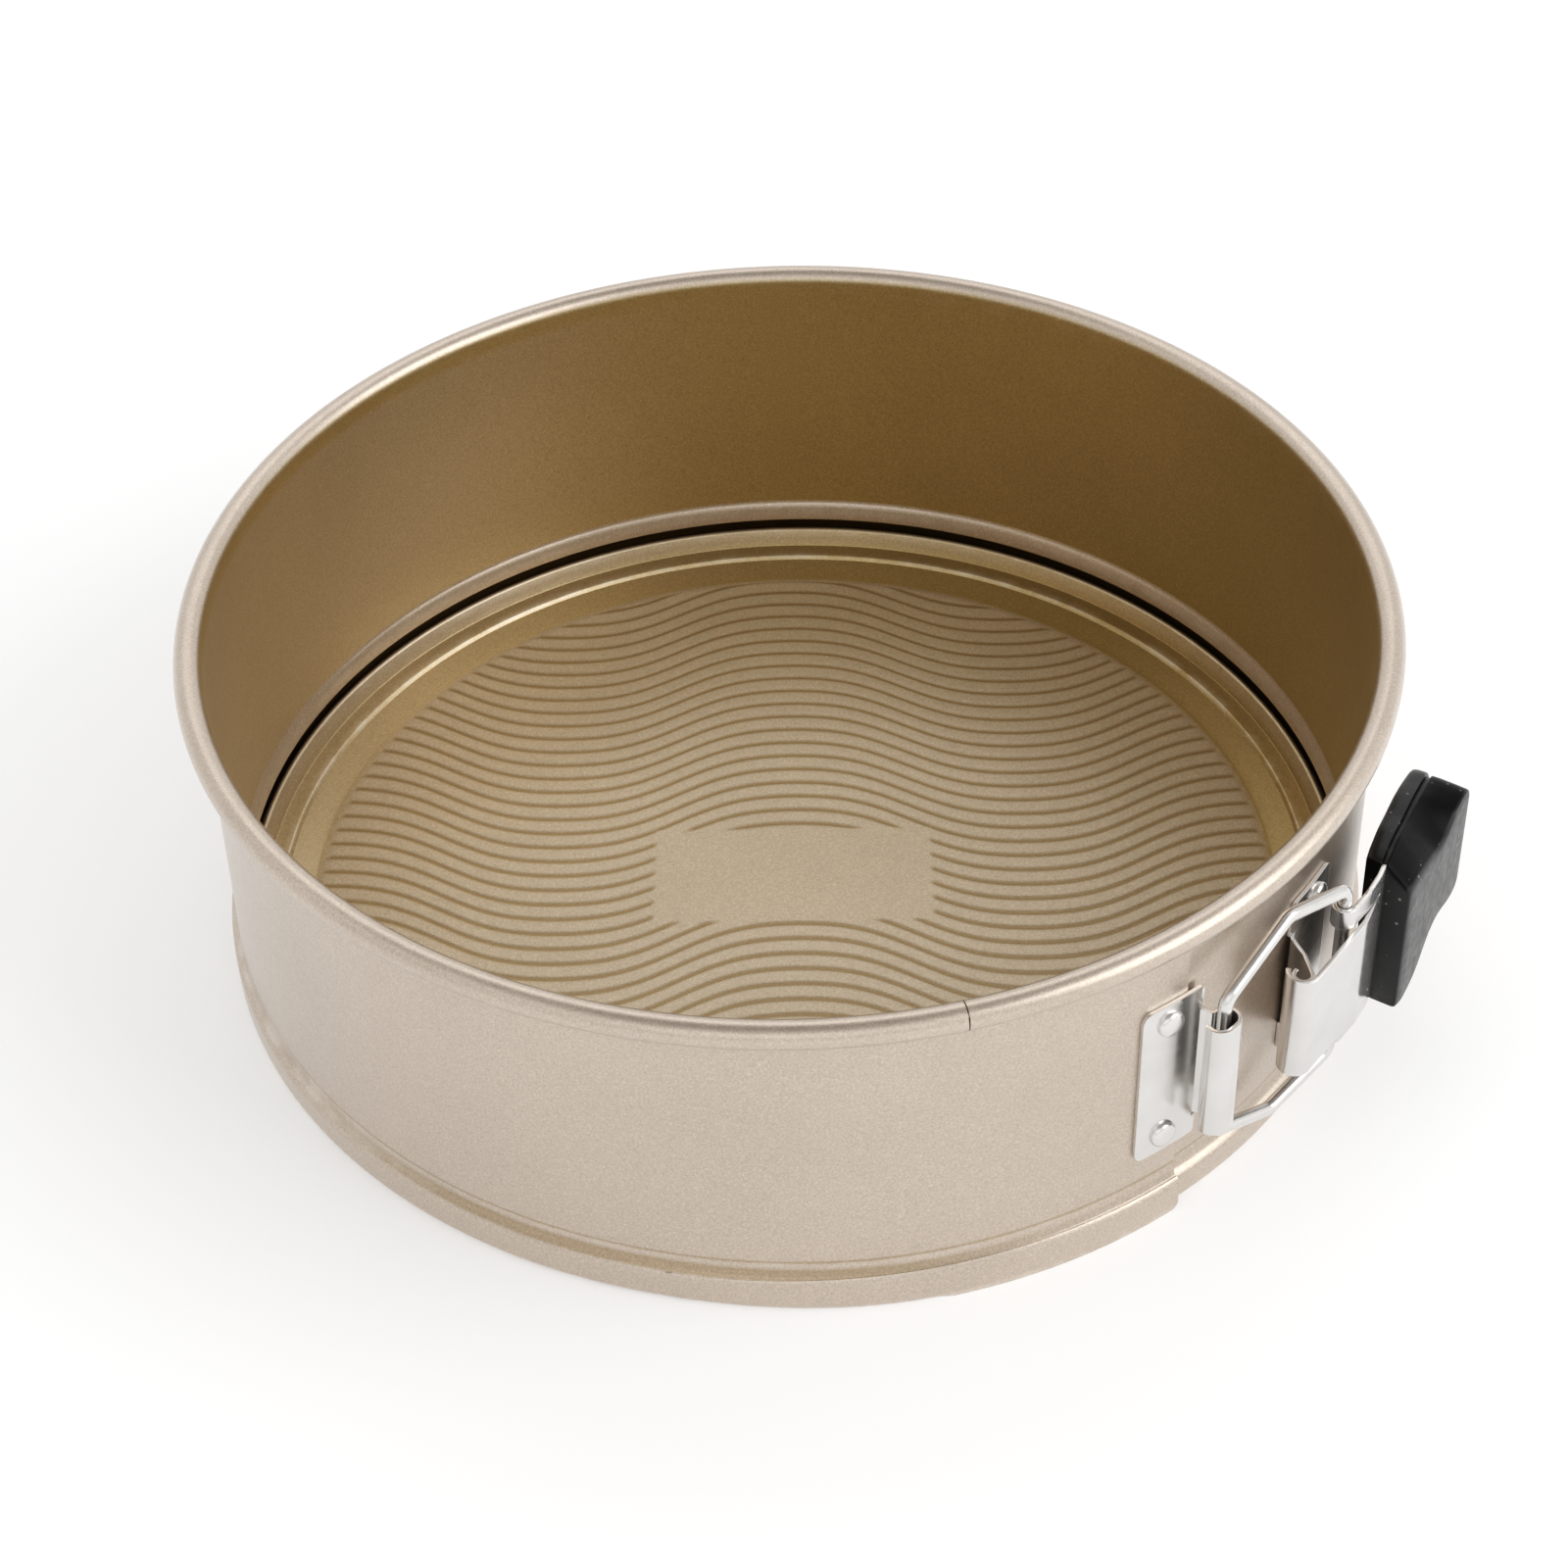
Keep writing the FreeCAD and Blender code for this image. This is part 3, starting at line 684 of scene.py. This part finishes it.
def build_base():
    patch, patch_faces, rim = groove_patch()
    count = len(patch)
    verts = [(x, y, h + rise) for rise in (SHEET, 0) for x, y, h, _ in patch]
    faces = patch_faces + [[v + count for v in reversed(f)] for f in patch_faces]
    painted_shade = list(patch[:, 3]) * 2
    edge = [0.0] * len(verts)
    # rings outside the patch: mid-sheet (radius, z), offset to the upper and the lower face
    middle = resample(fillet(
        [(PATCH_R, HALF), (100.8, HALF), (106.6, 1.55), (107.25, 2.35),
         (110.9, 2.35), (112.55, 5.9), (113.2, 5.9), (113.2, 0.9)],
        [0, 1.2, 0.3, 0.3, 0.6, 0.3, 0.3, 0], 12), 2.0)
    normals = right_normals(middle)
    angles = np.radians(np.arange(RING_SEGMENTS) * 360.0 / RING_SEGMENTS)
    face_rings = []
    for sign in (-1, 1):
        rings = []
        for r, z in (np.array(middle) + normals * (sign * HALF))[1:]:
            rings.append(list(range(len(verts), len(verts) + RING_SEGMENTS)))
            verts += [(r * math.cos(a), r * math.sin(a), z) for a in angles]
            # a painted highlight along the step at r 107; the rim's top is a little lighter
            step_highlight = abs(r - 107.0) < 0.5 and sign < 0
            edge += [0.3 if z > 5.4 else 0.8 if step_highlight else 0.0] * RING_SEGMENTS
        face_rings.append(rings)
    painted_shade += [0.0] * (len(verts) - len(painted_shade))
    upper, lower = face_rings
    faces += [f[::-1] for f in loft(upper)] + loft(lower)
    faces += loft([upper[-1], lower[-1]])

    def rim_angle(v):
        return math.atan2(patch[v][1], patch[v][0]) % (2 * math.pi)

    rim.sort(key=rim_angle)
    rim_angles = [rim_angle(v) for v in rim]
    faces += zip_rings(rim, rim_angles, upper[0], angles)
    faces += [f[::-1] for f in zip_rings([v + count for v in rim], rim_angles, lower[0], angles)]

    x, y, z = np.array(verts).T
    radius = np.hypot(x, y)
    leftness = 0.5 - 0.5 * x / np.maximum(radius, 1.0)      # 0 towards +x, 1 towards -x
    # painted shade: the rings darken towards +x
    painted_shade = np.where((radius > 100.4) & (z < 3.4), 0.40 * smooth(0.45, 0.1, leftness), painted_shade)
    # painted shadow: the rim's outer face shows only in the gap under the band's bead and is made near black
    painted_shade[(radius > 113.45) & (z < 5.9)] = 1.0
    in_patch = 1 - smooth(PATCH_R - 0.6, PATCH_R + 0.6, radius)
    # painted light: the rings are paler towards -x
    ring_painted_light = 0.06 + 0.30 * smooth(0.35, 0.95, leftness)
    # painted highlight on the rim above z 3.4; the grooved middle takes PATCH_TONE
    tone = ring_painted_light + (PATCH_TONE - ring_painted_light) * in_patch + 0.3 * smooth(3.4, 4.2, z)
    obj = make("base_plate_pressed", verts, faces, coat)
    for name, values in (("painted_shade", painted_shade), ("edge", edge), ("painted_light", tone), ("matte", in_patch)):
        add_attribute(obj, name, values)
    fix_normals(obj)
    sharpen(obj, 55)
    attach(obj, "base")
    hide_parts("base_plate")


# ------------------------------------------------------------------ latch frames
def latch_point(along, out, up):
    """latch frame (along the wall, outward, above the latch's middle) to x, y, z"""
    s45 = math.sqrt(0.5)
    return (s45 * along + s45 * out, s45 * along - s45 * out, LATCH_Z + up)


def wall_point(radius, az):
    """(along, out) of a point on the wall"""
    angle = math.radians(az + 45.0)
    return (radius * math.sin(angle), radius * math.cos(angle))


def lever_point(along, out):
    """lever frame, from its pivot, to the latch's (along, out)"""
    cos, sin = math.cos(LEVER_TILT), math.sin(LEVER_TILT)
    return (PIVOT[0] + along * cos - out * sin, PIVOT[1] + along * sin + out * cos)


def past_bend(distance):
    """lever-frame point on the sheet beyond its bend"""
    return (18.0 + distance * math.cos(BEND), CURL_R + distance * math.sin(BEND))


# ------------------------------------------------------------------ bent sheet pieces
def sheet_object(name, node, patches, body, thick=SHEET, bevel=0.13):
    """patches are grids of mid-surface points; welded, thickened, given rounded edges"""
    verts, faces = [], []
    for grid in patches:
        start, width = len(verts), len(grid[0])
        verts += [p for line in grid for p in line]
        for i in range(len(grid) - 1):
            for j in range(width - 1):
                v = start + i * width + j
                faces.append([v, v + width, v + width + 1, v + 1])
    obj = make(name, verts, faces, nickel)
    with editing(obj) as bm:
        bmesh.ops.remove_doubles(bm, verts=bm.verts, dist=0.02 * MM)
        bmesh.ops.recalc_face_normals(bm, faces=bm.faces)
    solid = obj.modifiers.new("thickness", "SOLIDIFY")
    solid.thickness = thick * MM
    solid.offset = 0
    solid.use_even_offset = True
    solid.use_rim = True
    edges = obj.modifiers.new("edges", "BEVEL")
    edges.width = bevel * MM
    edges.segments = 2
    edges.limit_method = "ANGLE"
    edges.angle_limit = math.radians(50)
    normals = obj.modifiers.new("normals", "WEIGHTED_NORMAL")
    normals.keep_sharp = False
    normals.weight = 60
    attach(obj, body)
    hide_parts(node)


def column(point, low, high, cells):
    return [latch_point(*point, low + (high - low) * k / cells) for k in range(cells + 1)]


def ribbon(path, low, high, cells):
    """grid of points: a path in (along, out) against heights"""
    return [column(p, low, high, cells) for p in path]


def plate_grid(radius, az0, az1, low, high, cells, end, corner0, corner1):
    """part of a curved plate

    corner0 and corner1 round its corners at az0 and az1, on its lower side where end is -1
    and on its upper side where end is 1.
    """
    count = max(2, int(round(abs(az1 - az0) / 0.18)))
    grid = []
    for i in range(count + 1):
        az = az0 + (az1 - az0) * i / count
        cut = 0.0
        for side_az, corner in ((az0, corner0), (az1, corner1)):
            x = abs(math.radians(az - side_az)) * radius
            if x < corner:
                cut = max(cut, corner - math.sqrt(corner ** 2 - (corner - x) ** 2))
        grid.append(column(wall_point(radius, az), low + (cut if end < 0 else 0),
                           high - (cut if end > 0 else 0), cells))
    return grid


def split_plate(radius, az_free, az_bend, az_ear, tab, ear_corner):
    """plate on the wall; within tab of its middle it stops at az_bend, its ears at az_ear"""
    half, corner = 19.0, 2.0
    # low, high, cells, end
    parts = [(-half, -tab, 4, -1), (-tab, tab, 10, 0), (tab, half, 4, 1)]
    return ([plate_grid(radius, az_free, az_bend, *p, corner, 0.0) for p in parts]
            + [plate_grid(radius, az_bend, az_ear, *p, 0.0, ear_corner) for p in parts[::2]])


def build_bail_bracket():
    radius = TONGUE_OUT + 0.05 + HALF
    bend_az, tab = -51.95, 13.4
    eye_out, eye_r = 121.0, 2.5
    neck = [wall_point(radius, bend_az), wall_point(radius, -51.72), (-13.2, 117.2),
            (-12.95, eye_out - eye_r), (-12.25, eye_out - eye_r)]
    path = fillet(neck, [0, 0.5, 1.2, 0.6, 0], 8)
    path += arc(-12.25, eye_out, eye_r, -90, 90, 9)[1:] + arc(-14.0, eye_out, eye_r, 90, 208, 9)
    patches = split_plate(radius, -58.5, bend_az, -51.5, tab, ear_corner=0.35)
    patches.append(ribbon(resample(path, 0.8), -tab, tab, 10))
    sheet_object("bail_bracket_sheet", "bail_bracket", patches, "ring_left")


def build_lever_bracket():
    radius = WALL_OUT + HALF + 0.02
    bend_az, tab = -36.9, 11.3
    neck = [wall_point(radius, bend_az), wall_point(radius, -37.25), (14.0, 115.6),
            (12.9, 117.8), (11.9, 120.2), (10.9, 121.6)]
    path = fillet(neck, [0, 0.5, 1.6, 3.0, 3.0, 0], 8)[:-1]
    path += arc(*PIVOT, 1.75, 34, 285, 10)
    patches = split_plate(radius, -30.6, bend_az, -38.3, tab, ear_corner=2.0)
    patches.append(ribbon(resample(path, 0.8), -tab, tab, 10))
    sheet_object("lever_bracket_sheet", "lever_bracket", patches, "ring_right")


def build_lever_plate():
    """sheet curled round the pivot, with an ear above and below that holds the wire"""
    half, ear_low, ear_high = 12.25, 12.7, 17.2
    ear_r = 1.97
    cos, sin = math.cos(LEVER_TILT), math.sin(LEVER_TILT)
    reach, rise = WIRE_END[0] - PIVOT[0], WIRE_END[1] - PIVOT[1]
    wire_along, wire_out = reach * cos + rise * sin, -reach * sin + rise * cos

    def placed(points, spacing):
        return [lever_point(*p) for p in resample(points, spacing)]

    bent = fillet([(12.0, CURL_R), (18.0, CURL_R), past_bend(7.8)], [0, 9.0, 0], 3)
    main = placed(arc(0, 0, CURL_R, 252, 90, 8) + bent, 1.5)
    join = placed([past_bend(7.8), past_bend(9.2), past_bend(11.0)], 0.9)
    root = placed([past_bend(11.0), past_bend(36.0)], 2.0)
    ear = arc(wire_along, wire_out, ear_r, 322, 90, 10)
    ear += fillet([ear[-1], (20.6, wire_out + ear_r), past_bend(7.8)], [0, 6.0, 0], 3)[1:]
    ear = placed(ear, 1.0)
    patches = [ribbon(main, -half, half, 12), ribbon(join, -half, half, 12)]
    for s in (1, -1):
        patches.append(ribbon(join, s * half, s * ear_low, 1))
        patches.append(ribbon(join, s * ear_low, s * ear_high, 3))
        patches.append(ribbon(ear, s * ear_low, s * ear_high, 3))
    patches.append(ribbon(root, -7.5, 7.5, 4))
    sheet_object("lever_plate_sheet", "lever_plate", patches, "lever", thick=1.0, bevel=0.16)


# ------------------------------------------------------------------ wire and rivets
def build_wire():
    """closed loop of wire, from the bail bracket's eye to the lever's ears"""
    segments = 20
    # (along, out), half height
    bends = [(WIRE_EYE, 17.0), ((5.6, 119.9), 25.3), (WIRE_END, 20.9)]
    corners = [np.array(latch_point(*p, h)) for p, h in bends]
    corners += [np.array(latch_point(*p, -h)) for p, h in reversed(bends)]
    # start half way down the leg in the eye
    start = (corners[0] + corners[-1]) / 2
    path = fillet([start] + corners + [start], [0] + [3.2] * len(corners) + [0], 7)
    path = np.array(resample(path[:-1], 2.0))
    tangents = np.roll(path, -1, 0) - np.roll(path, 1, 0)
    tangents /= np.linalg.norm(tangents, axis=1)[:, None]
    plane = np.cross(corners[1] - corners[0], corners[2] - corners[0])
    plane /= np.linalg.norm(plane)
    verts = []
    for point, tangent in zip(path, tangents):
        across = plane - (plane @ tangent) * tangent
        across /= np.linalg.norm(across)
        other = np.cross(tangent, across)
        for k in range(segments):
            angle = 2 * math.pi * k / segments
            verts.append(point + WIRE_R * (math.cos(angle) * across + math.sin(angle) * other))
    rings = [list(range(s, s + segments)) for s in range(0, len(verts), segments)]
    obj = make("wire_bail_loop", verts, loft(rings + rings[:1]), nickel)
    fix_normals(obj)
    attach(obj, "bail")
    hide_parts("wire_bail")


def lathe(profile, az, z, start, segments=40):
    """solid turned about a radial axis

    profile is (radial position, distance from the axis) and starts and ends on the axis;
    start is the first vertex number.
    """
    angle = math.radians(az)
    radial = np.array([math.cos(angle), math.sin(angle), 0])
    tangent = np.array([-math.sin(angle), math.cos(angle), 0])
    upward = np.array([0, 0, 1.0])
    verts, faces, rings = [], [], []
    for x, distance in profile:
        count = 1 if distance == 0 else segments
        rings.append([start + len(verts) + k for k in range(count)])
        for k in range(count):
            turn = 2 * math.pi * k / segments
            spoke = math.cos(turn) * tangent + math.sin(turn) * upward
            verts.append(radial * x + distance * spoke + upward * z)
    for a, b in zip(rings, rings[1:]):
        for k in range(segments):
            k2 = (k + 1) % segments
            if len(a) == 1:
                faces.append([a[0], b[k], b[k2]])
            elif len(b) == 1:
                faces.append([a[k], b[0], a[k2]])
            else:
                faces.append([a[k], b[k], b[k2], a[k2]])
    return verts, faces


# radial position against the head's top, distance from the axis
RIVET_DOME = [(0, 0), (-0.02, 0.8), (-0.08, 1.45), (-0.20, 2.0), (-0.38, 2.40),
              (-0.66, 2.66), (-0.95, 2.78)]
# the same against the sheet's outer face, then against the tail's end
RIVET_SEAT = [(0.15, 2.82), (-0.02, 2.82), (-0.02, 1.5)]
RIVET_TAIL = [(0.45, 1.5), (0.45, 2.2), (0.22, 2.25), (0.05, 1.9), (0, 1.0), (0, 0)]
RIVET_HEAD = 1.4


def build_rivets(name, node, az, seat, tail, body):
    profile = [(start + x, distance) for start, table in
               ((seat + RIVET_HEAD, RIVET_DOME), (seat, RIVET_SEAT), (tail, RIVET_TAIL))
               for x, distance in table]
    verts, faces = [], []
    for s in (1, -1):
        new_verts, new_faces = lathe(profile, az, LATCH_Z + s * RIVET_RISE, len(verts))
        verts += new_verts
        faces += new_faces
    obj = make(name, verts, faces, nickel)
    fix_normals(obj)
    sharpen(obj, 60)
    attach(obj, body)
    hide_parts(node)


# ------------------------------------------------------------------ moulded grip
# Each table is (distance along the grip, size). First half heights of the body and of the
# outer face above and below the middle, then how far the faces lie from the grip's line.
GRIP_BODY = [
    (0, 17.7), (4, 18.2), (8, 18.2), (12, 17.6), (15, 17.0), (21, 16.3), (25, 15.6), (28, 14.9),
    (31, 14.2), (33, 13.6), (34.5, 12.6), (35.6, 11.3), (36.5, 9.6), (37.2, 7.4), (37.6, 5.2)]
GRIP_FACE_TOP = [
    (0, 13.7), (3, 13.3), (6, 12.8), (12, 11.5), (17, 10.4), (20, 10.6), (23, 11.9), (26, 13.1),
    (30, 13.3), (32, 13.0), (33.6, 12.2), (34.9, 11.0), (35.9, 9.5), (36.7, 7.8), (37.2, 6.2),
    (37.6, 4.4)]
GRIP_FACE_LOW = [
    (0, 17.2), (4, 17.9), (8, 17.5), (11.5, 16.0), (14.5, 13.6), (17.5, 11.8), (20.5, 11.2),
    (23.5, 11.6), (27, 12.6), (30.5, 13.1), (32.5, 12.7), (34, 11.9), (35.2, 10.7), (36.2, 9.0),
    (37.0, 7.0), (37.6, 4.6)]
GRIP_FRONT = [(0, 4.2), (3, 4.6), (32.5, 4.6), (34.5, 4.3), (35.8, 3.65), (36.8, 2.6), (37.6, 0.9)]
GRIP_BACK = [(0, -5.25), (2, -5.5), (33, -7.6), (35.0, -7.45), (36.2, -6.95), (37.0, -6.2),
             (37.6, -5.0)]
# (distance along the grip, inset of the section)
GRIP_STATIONS = ([(0.4, 0.35), (0.5, 0.12), (0.75, 0.0)]
                 + [(s, 0.0) for s in np.arange(1.6, 34.0, 1.1)]
                 + [(s, 0.0) for s in (34.2, 34.9, 35.5, 36.0, 36.4, 36.75, 37.05, 37.3, 37.48,
                                       37.6)])
FACET_POINTS = range(5, 9)      # section points on the upper facet


def grip_section(s, inset):
    """outline at s as (out, up): from the outer face over the top to the back, and under"""
    body, top, low = (monotone(t, s) - inset for t in (GRIP_BODY, GRIP_FACE_TOP, GRIP_FACE_LOW))
    front, back = monotone(GRIP_FRONT, s) - inset, monotone(GRIP_BACK, s) + inset
    # parting groove, narrower where the grip is thin
    parting = -1.6 - 0.07 * s
    k = min(1.0, (parting - back) / 3.7, (front - parting) / 5.0)
    outer, inner = parting + 0.42 * k, parting - 0.42 * k
    depth = 0.85 * k
    # facet from the parting groove to the outer face
    run, drop = front - outer, (body - 0.3) - top
    upper = [
        (front, 0.0), (front, 0.5 * top), (front, top - 1.5),
        (front - 0.08 * k, top - 0.8), (front - 0.30 * k, top - 0.1),
        (front - 0.9 * k, top + 0.75 * drop / run),
        (outer + 0.6 * run, top + 0.4 * drop + 0.05),
        (outer + 0.25 * run, top + 0.75 * drop + 0.05),
        (outer + 0.35, body - 0.42), (outer + 0.1, body - 0.5), (outer, body - 0.75),
        (outer - 0.05 * k, body - depth - 0.3), (inner + 0.05 * k, body - depth - 0.3),
        (inner, body - 0.35), (inner - 0.12, body - 0.1), (inner - 0.4, body),
        (0.5 * (inner + back), body + 0.02), (back + 0.9 * k, body - 0.03),
        (back + 0.4 * k, body - 0.22), (back + 0.12 * k, body - 0.6),
        (back, body - 1.2), (back, 0.5 * body), (back, 0.0)]
    edge = max(body - 0.25, low)
    lower = [
        (back, -0.5 * body), (back, -body + 1.2), (back + 0.12 * k, -body + 0.6),
        (back + 0.4 * k, -body + 0.22), (back + 0.9 * k, -body + 0.03),
        (0.5 * (inner + back), -body), (inner - 0.4, -body), (inner - 0.12, -body + 0.1),
        (inner, -body + 0.35), (inner + 0.05 * k, -edge + depth + 0.1),
        (outer - 0.05 * k, -edge + depth + 0.1), (outer, -edge + 0.35),
        (outer + 0.1, -edge + 0.1), (outer + 0.35, -edge),
        (outer + 0.25 * run, -edge * 0.72 - low * 0.28),
        (outer + 0.6 * run, -edge * 0.32 - low * 0.68),
        (front - 0.95, -low), (front - 0.5, -low + 0.08), (front - 0.2, -low + 0.28),
        (front - 0.04, -low + 0.62), (front, -low + 1.0), (front, -0.5 * low)]
    return upper + lower


def grip_point(along, out):
    cos, sin = math.cos(GRIP_TILT), math.sin(GRIP_TILT)
    return lever_point(27.9 + along * cos - out * sin, 2.25 + along * sin + out * cos)


def build_grip():
    verts, facet, rings = [], [], []
    for s, inset in GRIP_STATIONS:
        section = grip_section(s, inset)
        rings.append(list(range(len(verts), len(verts) + len(section))))
        # sections lean at the root and straighten over the first millimetres
        lean = 0.151 * (1.0 - min(1.0, max(0.0, (s - 0.4) / 3.6)))
        for i, (out, up) in enumerate(section):
            facet.append(1.0 if i in FACET_POINTS else 0.0)
            verts.append(latch_point(*grip_point(s - lean * out, out), up))
    faces = loft(rings) + [rings[0][::-1], rings[-1]]
    obj = make("lever_grip_moulding", verts, faces, black)
    add_attribute(obj, "facet", facet)
    fix_normals(obj)
    sharpen(obj, 42)
    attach(obj, "lever")
    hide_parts("lever_grip")


coat = coat_material()
nickel = nickel_material()
black = grip_material()
pale = table_material()

build_band()
build_base()
build_bail_bracket()
build_lever_bracket()
build_lever_plate()
build_wire()
build_rivets("bail_bracket_rivet_heads", "bail_bracket_rivets", az=-55.4,
             seat=TONGUE_OUT + SHEET, tail=115.5, body="ring_left")
build_rivets("lever_bracket_rivet_heads", "lever_bracket_rivets", az=-33.4,
             seat=WALL_OUT + SHEET, tail=114.05, body="ring_right")
build_grip()


# ------------------------------------------------------------------ stage, in metres
def build_table(size=8.0, cells=24):
    bm = bmesh.new()
    ticks = [(i / cells - 0.5) * size for i in range(cells + 1)]
    grid = [[bm.verts.new((x, y, 0.0)) for y in ticks] for x in ticks]
    for i in range(cells):
        for j in range(cells):
            bm.faces.new([grid[i][j], grid[i + 1][j], grid[i + 1][j + 1], grid[i][j + 1]])
    mesh = bpy.data.meshes.new("table")
    bm.to_mesh(mesh)
    bm.free()
    mesh.materials.append(pale)
    table = bpy.data.objects.new("table", mesh)
    bpy.context.scene.collection.objects.link(table)


def build_world():
    """a pale tent, darker towards its top"""
    world = bpy.data.worlds.new("studio")
    bpy.context.scene.world = world
    n = Nodes(world, "ShaderNodeOutputWorld", "ShaderNodeBackground")
    split = n.add("ShaderNodeSeparateXYZ", {"Vector": n.coords["Generated"]})
    tent = n.ramp(split.outputs["Z"],
                  [(0.0, 0.95), (0.35, 0.92), (0.72, 1.0), (0.90, 0.50), (1.0, 0.22)])
    n.surface({"Color": tent, "Strength": 0.95})


def area(name, location, target, size, power):
    light = bpy.data.lights.new(name, "AREA")
    light.shape = "RECTANGLE"
    light.size, light.size_y = size
    light.energy = power
    obj = bpy.data.objects.new(name, light)
    obj.location = location
    obj.rotation_mode = "QUATERNION"
    obj.rotation_quaternion = (Vector(target) - Vector(location)).to_track_quat("-Z", "Y")
    bpy.context.scene.collection.objects.link(obj)


def build_camera():
    pitch, roll = 0.7225, -0.026                # radians
    axis_origin = np.array([2.2, 19.44, 721.3])  # world origin, mm right, down and ahead
    # rows are the camera's right, down and forward directions
    level = np.array([[1, 0, 0],
                      [0, -math.sin(pitch), -math.cos(pitch)],
                      [0, math.cos(pitch), -math.sin(pitch)]])
    rolled = np.array([[math.cos(roll), -math.sin(roll), 0],
                       [math.sin(roll), math.cos(roll), 0],
                       [0, 0, 1]]) @ level
    pose = np.eye(4)
    pose[:3, :3] = np.stack([rolled[0], -rolled[1], -rolled[2]], 1)
    pose[:3, 3] = -rolled.T @ axis_origin * MM
    data = bpy.data.cameras.new("camera")
    data.sensor_width = 36.0
    data.lens = 78.75
    data.clip_start, data.clip_end = 0.05, 20.0
    camera = bpy.data.objects.new("camera", data)
    camera.matrix_world = Matrix(pose.tolist())
    bpy.context.scene.collection.objects.link(camera)
    bpy.context.scene.camera = camera


def set_view():
    """standard view with a little more contrast in the dark half"""
    view = bpy.context.scene.view_settings
    view.view_transform = "Standard"
    view.use_curve_mapping = True
    combined = view.curve_mapping.curves[3]
    for tone_in, tone_out in ((0.015, 0.006), (0.04, 0.022), (0.10, 0.078),
                              (0.20, 0.195), (0.40, 0.43), (0.65, 0.69)):
        combined.points.new(tone_in, tone_out)
    view.curve_mapping.update()


build_table()
build_world()
area("key_right", location=(1.35, -0.45, 0.95), target=(0, 0, 0.03), size=(1.4, 1.2), power=12.0)
area("top_back", location=(-0.1, 0.85, 1.2), target=(0, 0, 0.0), size=(1.3, 0.7), power=2.2)
area("fill_front", location=(-0.15, -1.35, 0.85), target=(0, 0, 0.05), size=(1.2, 0.8), power=1.0)
build_camera()
set_view()
